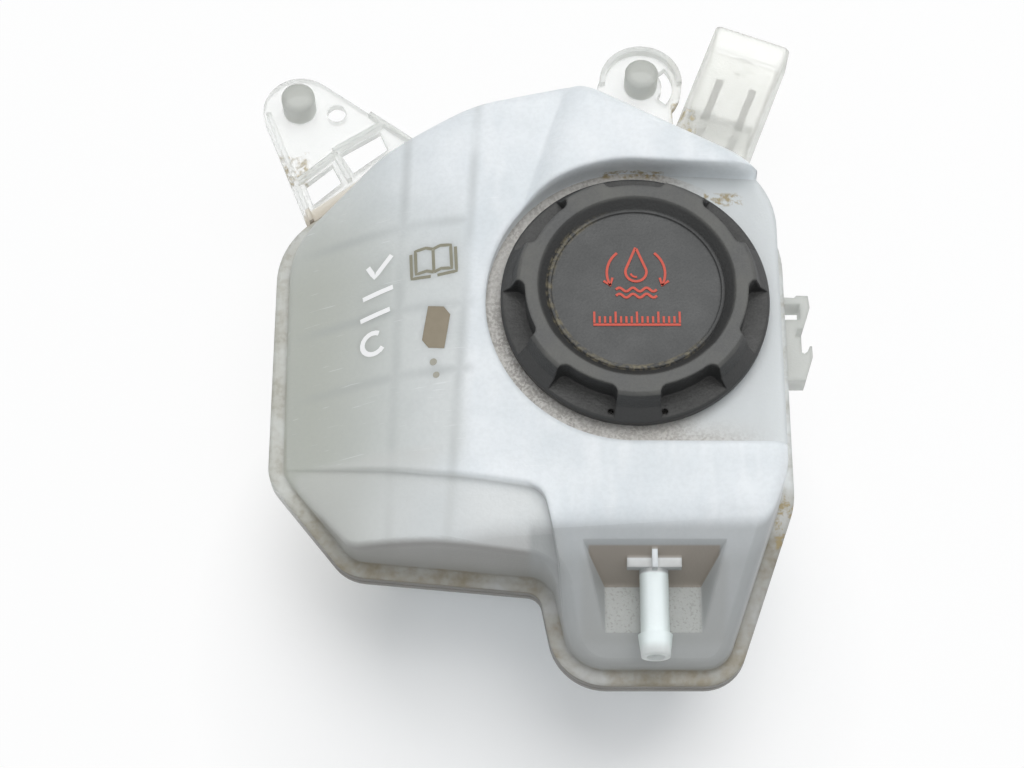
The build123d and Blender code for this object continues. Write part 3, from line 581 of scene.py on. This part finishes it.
# %% [markdown]
# ### The vent nipple and the satin surface
# The nipple is the cleanest place on the tank: a greener white, with painted shade on its round sides, and
# greyer at its tip. It is part of the upper shell, so the distance from its own axis finds it. The surface of
# the whole tank then gets a satin grain. Real bumps of that size would need millions of faces, and a bump in
# the shader shows the same.

# %% Nipple
NIPPLE_AXIS_XZ = (4.6, 64.5)
NIPPLE_RADIUS = 5.2
NIPPLE_SOFT = 0.2
NIPPLE_ROOT_Y = (-80.0, -81.0)
NIPPLE_TIP_Y = (-101.0, -104.0)
FACING_SIDEWAYS = (0.45, 0.95)

off_axis = from_axis(sides["x"], sides["z"], NIPPLE_AXIS_XZ)
nipple = overlap(fade(off_axis, NIPPLE_RADIUS + NIPPLE_SOFT, NIPPLE_RADIUS), fade(sides["y"], *NIPPLE_ROOT_Y))
left_or_right = add(tree, "ShaderNodeMath", {"operation": "ABSOLUTE"}, {0: facing["x"]}).outputs[0]
nipple_side_shade = add(tree, "ShaderNodeMapRange", {"From Min": FACING_SIDEWAYS[0], "From Max": FACING_SIDEWAYS[1]},
               {0: left_or_right}).outputs[0]
skin = tint(skin, "#eef6f5", nipple)
# Painted shade on the nipple's sides, which face left and right.
skin = tint(skin, "#bfc8c4", nipple, nipple_side_shade, amount=0.8)
skin = tint(skin, "#cdd1cf", nipple, fade(sides["y"], *NIPPLE_TIP_Y))
print("nipple radius", NIPPLE_RADIUS, "mm")

# %% Satin surface of the tank
# The plain skin has a faint satin grain, this share of the stipple's height, and softly rounded edges.
SATIN_SHARE = 0.12

rounded = add(tree, "ShaderNodeBevel", {"samples": 3, "Radius": 2.0 * MM})
relief = overlap(stipple, either(dusty_land, pocket_floor, SATIN_SHARE))
satin = add(tree, "ShaderNodeBump", {"Strength": 0.35, "Distance": 0.4 * MM},
            {"Height": relief, "Normal": rounded.outputs[0]})
gloss = add(tree, "ShaderNodeMapRange", {"To Min": 0.34, "To Max": 0.48}, {0: cloud}).outputs[0]
# The quickest of Blender's ways to scatter light is enough for a wall as pale as this.
surface = add(tree, "ShaderNodeBsdfPrincipled",
              {"IOR": 1.49, "subsurface_method": "BURLEY", "Subsurface Weight": 0.6,
               "Subsurface Scale": 6.0 * MM, "Subsurface Radius": (1.0, 1.0, 1.0)},
              {"Base Color": skin, "Alpha": alpha, "Roughness": gloss, "Normal": satin.outputs[0]})
add(tree, "ShaderNodeOutputMaterial", (), {"Surface": surface.outputs[0]})
print("tank nodes:", len(tree.nodes))

# %% [markdown]
# ## Black cap
# The cap is moulded in black glass-filled nylon with a fine eroded texture. Years of dust have greyed the
# faces that look up, and the groove round the dished disc has caught ochre dirt on its left and front. The
# sides of the lobes stay darker, and painted shade darkens the floors of the recesses and the side of the
# dish. Wear could be painted by hand. Here height, radius and facing say where dust and painted shade go,
# and because they belong to the cap, they turn with it.

# %% Black nylon of the cap
FACING_UP = (0.5, 0.95)
# The worn ring round the dish, and the floor of the finger recesses and the side of the dish, which get
# painted shade.
RING_Z = (91.2, 92.6)
RING_RADIUS = (28.0, 29.5)
RECESS_Z = (88.0, 86.0)
DISH_SIDE_RADIUS = (25.8, 29.0)
DISH_SIDE_SOFT = 0.6
DISH_SIDE_Z = (92.4, 91.6)
# The dirty groove, and where its dirt starts and is full on the left and in front.
GROOVE_RADIUS = (24.9, 26.3)
GROOVE_SOFT = 0.7
GROOVE_DIRT_X = (-6.0, -20.0)
GROOVE_DIRT_Y = (-14.0, -22.0)

cap_plastic, tree = new_material("black glass-filled nylon, eroded texture")
place, sides, facing = places(tree)
radius = from_axis(sides["x"], sides["y"], NECK_AXIS_XY)
upward = add(tree, "ShaderNodeMapRange",
             {"interpolation_type": "SMOOTHSTEP", "From Min": FACING_UP[0], "From Max": FACING_UP[1]},
             {0: facing["z"]}).outputs[0]
dusty = mottle(place, size=13.0, low=0.32, high=0.68, detail=4.0)
crumbs = mottle(place, size=2.0, low=0.42, high=0.68, detail=3.0)
# The eroded texture is drawn at 0.7 mm so that it shows, and its tops are worn grey.
erosion = mottle(place, size=0.7, low=0.3, high=0.7, detail=2.0)

shade = between("#191a1a", "#222323", dusty)
shade = tint(shade, "#464747", upward, amount=0.8)
shade = tint(shade, "#5e5e5a", fade(sides["z"], *RING_Z), fade(radius, *RING_RADIUS), dusty)
# Painted shade on the floors of the finger recesses.
shade = tint(shade, "#292928", fade(sides["z"], *RECESS_Z), upward)
# Painted shade on the side of the dish.
dish_side = overlap(band(radius, *DISH_SIDE_RADIUS, DISH_SIDE_SOFT), fade(sides["z"], *DISH_SIDE_Z))
shade = tint(shade, "#1a1b1b", dish_side, amount=0.7)
groove_dirt = either(fade(sides["x"], *GROOVE_DIRT_X), fade(sides["y"], *GROOVE_DIRT_Y))
shade = tint(shade, "#857c62", band(radius, *GROOVE_RADIUS, GROOVE_SOFT), crumbs, groove_dirt, amount=0.8)
shade = tint(shade, "#747572", erosion, upward, amount=0.14)

rounded = add(tree, "ShaderNodeBevel", {"samples": 3, "Radius": 0.9 * MM})
eroded = add(tree, "ShaderNodeBump", {"Strength": 0.25, "Distance": 0.3 * MM},
             {"Height": erosion, "Normal": rounded.outputs[0]})
rough = add(tree, "ShaderNodeMapRange", {"To Min": 0.42, "To Max": 0.60}, {0: dusty}).outputs[0]
surface = add(tree, "ShaderNodeBsdfPrincipled", {"IOR": 1.53},
              {"Base Color": shade, "Roughness": rough, "Normal": eroded.outputs[0]})
add(tree, "ShaderNodeOutputMaterial", (), {"Surface": surface.outputs[0]})
print("cap nodes:", len(tree.nodes))

# %% [markdown]
# ## Inner pieces
# Inside the cap hangs a black acetal valve insert with rubber rings, steel springs and a turned brass
# vacuum valve. The tinned contact pins stand in the sensor socket. Each could have a finish as rich as the
# tank's, but they are small and mostly hidden, so one function gives each a colour and a roughness that
# wander a little. Real grains are finer, and are drawn this coarse so that they show.

# %% Finishes of the inner pieces
ROUGHNESS_WANDERS = 0.08


def small_finish(name, dark, light, grain, roughness, metallic=0.0):
    """A material whose colour and roughness wander a little over grains of the given size in mm."""
    material, tree = new_material(name)
    place = add(tree, "ShaderNodeTexCoord").outputs["Object"]
    noise = add(tree, "ShaderNodeTexNoise", {"Scale": 1 / (grain * MM), "Detail": 3.0},
                {"Vector": place}).outputs[0]
    limits = {"To Min": roughness - ROUGHNESS_WANDERS, "To Max": roughness + ROUGHNESS_WANDERS}
    gloss = add(tree, "ShaderNodeMapRange", limits, {0: noise})
    bump = add(tree, "ShaderNodeBump", {"Strength": 0.15, "Distance": 0.1 * MM}, {"Height": noise})
    surface = add(tree, "ShaderNodeBsdfPrincipled", {"Metallic": metallic},
                  {"Base Color": between(dark, light, noise), "Roughness": gloss.outputs[0],
                   "Normal": bump.outputs[0]})
    add(tree, "ShaderNodeOutputMaterial", (), {"Surface": surface.outputs[0]})
    return material


# Moulded acetal is a little shiny, rubber dull, drawn wire bright, tin dulled by age, turned brass bright.
insert_plastic = small_finish("black acetal, moulded", "#1d1e1f", "#2a2b2c", grain=1.5, roughness=0.40)
seal_rubber = small_finish("nitrile rubber, moulded", "#141414", "#202020", grain=0.8, roughness=0.60)
spring_steel = small_finish("spring steel, drawn wire", "#a9aaab", "#c6c7c8", grain=0.6, roughness=0.30,
                            metallic=1.0)
pin_metal = small_finish("tinned brass, dulled", "#4d4b47", "#67645e", grain=0.7, roughness=0.40,
                         metallic=1.0)
valve_brass = small_finish("brass, turned", "#b08d4a", "#c9a866", grain=0.7, roughness=0.30, metallic=1.0)
finishes = {
    tank_plastic: ("upper_shell", "lower_shell"),
    cap_plastic: ("cap_shell",),
    insert_plastic: ("valve_cup", "valve_lid", "relief_plate"),
    seal_rubber: ("lower_sealing_ring", "upper_sealing_ring", "relief_seal"),
    spring_steel: ("relief_spring", "vacuum_spring", "vacuum_clip"),
    pin_metal: ("sensor_pin_left", "sensor_pin_right"),
    valve_brass: ("vacuum_valve",),
}
for material, names in finishes.items():
    for name in names:
        nodes[name].data.materials.clear()
        nodes[name].data.materials.append(material)
        print(name, "->", material.name)

# %% [markdown]
# ## Marks on the surfaces
# The printed and written marks are a tenth of a millimetre of ink, but they catch the eye. Each is a thin
# closed mesh that lies on its carrier. A stroke is a ribbon: one short edge is extruded from point to point
# and the flat ribbon is then extruded upwards. Marks on the curved roof are draped: every point is
# dropped onto the CAD roof by a ray, so they follow the curve from any side.

# %% Helpers that draw flat marks
def stroke(bm, points, width):
    """A flat ribbon along plan points, all in mm, made by extruding its first edge."""
    line = [Vector((px * MM, py * MM, 0.0)) for px, py in points]
    rims = []
    for index, point in enumerate(line):
        before = line[max(index - 1, 0)]
        after = line[min(index + 1, len(line) - 1)]
        run = (after - before).normalized()
        aside = Vector((-run.y, run.x, 0.0)) * width * MM / 2
        rims.append((point + aside, point - aside))
    ends = [bm.verts.new(corner) for corner in rims[0]]
    edge = bm.edges.new(ends)
    for left_rim, right_rim in rims[1:]:
        grown = bmesh.ops.extrude_edge_only(bm, edges=[edge])["geom"]
        edge = next(item for item in grown if isinstance(item, bmesh.types.BMEdge))
        fresh = [item for item in grown if isinstance(item, bmesh.types.BMVert)]
        if (fresh[0].co - ends[0].co).length > (fresh[1].co - ends[0].co).length:
            fresh.reverse()
        fresh[0].co = left_rim
        fresh[1].co = right_rim
        ends = fresh


def dense(points, step=1.5):
    """The same line with a point every few mm, so that a ribbon can follow a curved surface."""
    line = [points[0]]
    for (ax, ay), (bx, by) in zip(points, points[1:]):
        count = max(1, math.ceil(math.hypot(bx - ax, by - ay) / step))
        line += [(ax + (bx - ax) * k / count, ay + (by - ay) * k / count) for k in range(1, count + 1)]
    return line


def arc(centre, radius, start, end, count):
    """Points on an arc between two angles in degrees."""
    turns = [math.radians(start + (end - start) * k / count) for k in range(count + 1)]
    return [(centre[0] + radius * math.cos(t), centre[1] + radius * math.sin(t)) for t in turns]


print("a quarter turn in two steps:", [(round(x, 2), round(y, 2)) for x, y in arc((0, 0), 1, 0, 90, 2)])

# %% Helpers that lay marks on the part
# Rays fall from above the part, and a mark's underside is sunk a little into its carrier.
RAY_START_Z = 200.0
SUNK = 0.05
DOWN = Vector((0.0, 0.0, -1.0))


def search_tree(node):
    """Search tree of a CAD node's own mesh, for rays."""
    mesh = nodes[node].data
    return BVHTree.FromPolygons([v.co for v in mesh.vertices], [p.vertices for p in mesh.polygons])


def height_on(carrier, x, y):
    """Height at which a ray from above meets a carrier, all in metres."""
    return carrier.ray_cast(Vector((x, y, RAY_START_Z * MM)), DOWN)[0].z


def finish_mark(name, bm, height, material, body, carrier=None, base_z=0.0):
    """Thickens flat shapes, lays them on a plane or drapes them over a carrier, and adds the piece. In mm."""
    tops = bmesh.ops.extrude_face_region(bm, geom=bm.faces[:])["geom"]
    tops = {item for item in tops if isinstance(item, bmesh.types.BMVert)}
    for vert in bm.verts:
        ground = base_z * MM if carrier is None else height_on(carrier, vert.co.x, vert.co.y)
        vert.co.z = ground + (height * MM if vert in tops else -SUNK * MM)
    bmesh.ops.recalc_face_normals(bm, faces=bm.faces[:])
    mesh = bpy.data.meshes.new(name)
    bm.to_mesh(mesh)
    bm.free()
    mesh.materials.append(material)
    piece = bpy.data.objects.new(name, mesh)
    scene.collection.objects.link(piece)
    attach(piece, body)
    print(name, len(mesh.polygons), "faces on", body)


roof = search_tree("upper_shell")
print("roof of", len(nodes["upper_shell"].data.polygons), "faces to lay marks on")

# %% [markdown]
# ### Red mark on the cap
# The disc carries a red mark that says, without words, what is filled in here and which way the cap turns:
# a drop over two waves of liquid, between two curved arrows, and below it a graduated bar. It is moulded
# 0.25 mm proud and inked, so the red is a little worn. A pattern in the cap's material could draw it too,
# but only a mesh gives it an edge that catches the light.

# %% Red drop, waves and arrows
# Drawn in mm about the cap's axis, on the disc. Angles are in degrees.
DISC_Z = 89.5
RED_PROUD = 0.25
RED_LINE = 0.75
DROP_CENTRE = (0.0, 5.4)
DROP_RADIUS = 3.1
DROP_ARC = (152.0, 388.0)
# The outline starts at the drop's tip and ends just beside it.
DROP_TIP = (0.0, 13.4)
DROP_END = (0.25, 13.0)
GLINT_RADIUS = 1.7
GLINT_ARC = (200.0, 280.0)
GLINT_LINE = 0.6
WAVE_LEVELS = (-0.4, -2.4)
WAVE_START_X = -6.0
WAVE_STEP = 0.4
WAVE_POINTS = 31
WAVE_HEIGHT = 0.6
WAVE_RADIANS_PER_MM = 1.57
ARROW_CENTRE = (0.0, 5.0)
ARROW_RADIUS = 8.6
# An arrow's two ends, away from straight up, and the ends of its two barbs, from its tip.
ARROW_START = 40.0
ARROW_END = 118.0
OUTER_BARB = (2.0, 1.5)
INNER_BARB = (-0.6, 2.5)

red_ink = small_finish("red pad-printed ink, worn", "#b8402e", "#d9563f", grain=1.2, roughness=0.48)
bm = bmesh.new()
stroke(bm, [DROP_TIP, *arc(DROP_CENTRE, DROP_RADIUS, *DROP_ARC, count=24), DROP_END], RED_LINE)
stroke(bm, arc(DROP_CENTRE, GLINT_RADIUS, *GLINT_ARC, count=8), GLINT_LINE)
for level in WAVE_LEVELS:
    runs = [WAVE_STEP * k for k in range(WAVE_POINTS)]
    wave = [(WAVE_START_X + run, level + WAVE_HEIGHT * math.sin(run * WAVE_RADIANS_PER_MM)) for run in runs]
    stroke(bm, wave, RED_LINE)
for side in (-1, 1):
    sweep = arc(ARROW_CENTRE, ARROW_RADIUS, 90.0 - side * ARROW_START, 90.0 - side * ARROW_END, count=16)
    tip = sweep[-1]
    outer, inner = [(tip[0] + side * x, tip[1] + y) for x, y in (OUTER_BARB, INNER_BARB)]
    stroke(bm, sweep, RED_LINE)
    stroke(bm, [outer, tip, inner], RED_LINE)
finish_mark("red_fill_mark", bm, RED_PROUD, red_ink, "cap", base_z=DISC_Z)

# %% Red graduated bar
BAR_HALF = 12.8
BAR_Y = -11.8
BAR_LINE = 0.7
TICKS = 17
TICK_SPAN = 25.0
TICK_FOOT_Y = -11.2
TICK_LINE = 0.65
TICK_HEIGHT = 2.1
TALL_TICK_HEIGHT = 3.6
TICKS_PER_TALL = 4

bm = bmesh.new()
stroke(bm, [(-BAR_HALF, BAR_Y), (BAR_HALF, BAR_Y)], BAR_LINE)
for index in range(TICKS):
    x = TICK_SPAN * (index / (TICKS - 1) - 0.5)
    height = TICK_HEIGHT if index % TICKS_PER_TALL else TALL_TICK_HEIGHT
    stroke(bm, [(x, TICK_FOOT_Y), (x, TICK_FOOT_Y + height)], TICK_LINE)
finish_mark("red_graduated_bar", bm, RED_PROUD, red_ink, "cap", base_z=DISC_Z)

# %% [markdown]
# ### Marks on the roof
# A brown-grey pad print shows an open book, for the handbook, and below it a plain field with clipped
# corners and two small, faded spots. Beside them are white strokes of a paint pen. They are meshes too, cut
# finely enough to follow the roof.

# %% Book print
BOOK_PLACE = (-60.3, 15.4)
BOOK_DEGREES = 3.0
BOOK_LINE = 0.95
BOOK_STEP = 1.0
BOOK_THICK = 0.08
# The right half of the book, about its middle. The left half mirrors it.
BOOK_PAGE = ((0.0, -4.6), (2.2, -3.8), (5.4, -4.2), (5.4, 3.4), (2.2, 3.8), (0.0, 3.0))
BOOK_COVER = ((6.8, 2.6), (6.8, -5.4), (1.0, -5.8))
BOOK_SPINE = ((0.0, -4.2), (0.0, 2.6))

# Pad-printed ink is thin and dries matt and a little uneven.
book_ink = small_finish("olive-grey pad-printed ink", "#827f6b", "#959280", grain=2.5, roughness=0.5)


def on_roof(centre, degrees, points):
    """Moves mm points of a flat drawing to a place on the roof, turned in plan."""
    cos = math.cos(math.radians(degrees))
    sin = math.sin(math.radians(degrees))
    return [(centre[0] + px * cos - py * sin, centre[1] + px * sin + py * cos) for px, py in points]


book_lines = [[(side * x, y) for x, y in half] for side in (-1, 1) for half in (BOOK_PAGE, BOOK_COVER)]
bm = bmesh.new()
for line in [*book_lines, BOOK_SPINE]:
    stroke(bm, on_roof(BOOK_PLACE, BOOK_DEGREES, dense(line, BOOK_STEP)), BOOK_LINE)
finish_mark("book_print", bm, BOOK_THICK, book_ink, "tank", roof)

# %% Field and spots
FIELD_PLACE = (-59.2, -7.1)
FIELD_SIZE = (7.2, 13.2)
FIELD_DEGREES = -9.0
FIELD_THICK = 0.07
# Where two opposite corners are clipped, from the field's centre.
FIELD_CLIP = (2.4, 5.4)
# Plan points and radius.
SPOTS = ((-59.9, -18.1, 1.1), (-59.0, -22.3, 1.0))

# The same kind of ink, browner, and worn pale on the spots.
field_ink = small_finish("brown-grey pad-printed ink", "#8a806d", "#968c79", grain=2.5, roughness=0.5)
faded_ink = small_finish("brown-grey ink, faded", "#a3a093", "#adaa9d", grain=1.0, roughness=0.5)
centre = Vector((*FIELD_PLACE, 0.0)) * MM
turn = Matrix.Rotation(math.radians(FIELD_DEGREES), 4, "Z")
size = Matrix.Diagonal((FIELD_SIZE[0] * MM, FIELD_SIZE[1] * MM, 1.0, 1.0))
bm = bmesh.new()
bmesh.ops.create_grid(bm, x_segments=8, y_segments=12, size=0.5,
                      matrix=Matrix.Translation(centre) @ turn @ size)
for sign in (1, -1):
    corner = centre + turn @ Vector((*FIELD_CLIP, 0.0)) * sign * MM
    bmesh.ops.bisect_plane(bm, geom=bm.verts[:] + bm.edges[:] + bm.faces[:], plane_co=corner,
                           plane_no=turn @ Vector((sign, sign, 0.0)), clear_outer=True)
finish_mark("plain_field", bm, FIELD_THICK, field_ink, "tank", roof)

bm = bmesh.new()
for x, y, radius in SPOTS:
    bmesh.ops.create_circle(bm, cap_ends=True, segments=14, radius=radius * MM,
                            matrix=Matrix.Translation((x * MM, y * MM, 0.0)))
finish_mark("faded_spots", bm, FIELD_THICK, faded_ink, "tank", roof)

# %% Paint-pen strokes
PEN_LINE = 1.5
PEN_THICK = 0.09
PEN_STROKES = (
    ((-80.6, 16.8), (-78.4, 13.0), (-73.2, 19.0)),
    ((-82.0, 6.6), (-72.6, 8.4)),
    ((-82.6, -0.4), (-73.4, 1.4)),
)
PEN_HOOK_CENTRE = (-78.4, -8.6)
PEN_HOOK_RADIUS = 3.4
PEN_HOOK_ARC = (60.0, 330.0)

# Paint-pen ink lies thick, white and a little glossy.
pen = small_finish("white paint pen", "#fbfbf9", "#ffffff", grain=2.0, roughness=0.45)
bm = bmesh.new()
for line in [*PEN_STROKES, arc(PEN_HOOK_CENTRE, PEN_HOOK_RADIUS, *PEN_HOOK_ARC, count=14)]:
    stroke(bm, dense(line), PEN_LINE)
finish_mark("paint_pen_strokes", bm, PEN_THICK, pen, "tank", roof)

# %% [markdown]
# ## Coil springs of wire
# A coil spring gets shorter as its valve moves, which a rigid solid can't do. Each visible spring is a ring
# of wire points spun into a helix, one small rise per step, and it stands for the CAD spring.

# %% Springs
STEPS_PER_TURN = 32
RELIEF_COIL = {"radius": 9.6, "wire": 1.5, "turns": 4.0}
VACUUM_COIL = {"radius": 2.9, "wire": 0.6, "turns": 4.5}


def coil_spring(name, node, body, radius, wire, turns):
    """A helix of round wire between the CAD spring's own lowest and highest points, sizes in mm."""
    low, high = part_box(node)
    rise = (high.z - low.z) - wire * MM
    steps = int(turns * STEPS_PER_TURN)
    upright = Matrix.Rotation(math.radians(90.0), 4, "X")
    start = Matrix.Translation((radius * MM, 0.0, low.z + wire * MM / 2)) @ upright
    bm = bmesh.new()
    bmesh.ops.create_circle(bm, cap_ends=False, segments=12, radius=wire * MM / 2, matrix=start)
    bmesh.ops.spin(bm, geom=bm.verts[:] + bm.edges[:], cent=(0.0, 0.0, 0.0), axis=(0.0, 0.0, 1.0),
                   dvec=(0.0, 0.0, rise / steps), angle=math.tau * turns, steps=steps, use_merge=False)
    bmesh.ops.holes_fill(bm, edges=[edge for edge in bm.edges if edge.is_boundary], sides=0)
    bmesh.ops.recalc_face_normals(bm, faces=bm.faces[:])
    mesh = bpy.data.meshes.new(name)
    bm.to_mesh(mesh)
    bm.free()
    mesh.materials.append(spring_steel)
    for polygon in mesh.polygons:
        polygon.use_smooth = True
    spring = bpy.data.objects.new(name, mesh)
    scene.collection.objects.link(spring)
    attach(spring, body)
    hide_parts(node)
    print(name, len(mesh.polygons), "faces, height", round((high.z - low.z) / MM, 2), "mm")
    return spring, low, high


relief_coil, low, high = coil_spring("relief_coil", "relief_spring", "insert", **RELIEF_COIL)
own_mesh(relief_coil)
vacuum_coil, low, high = coil_spring("vacuum_coil", "vacuum_spring", "relief", **VACUUM_COIL)
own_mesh(vacuum_coil)
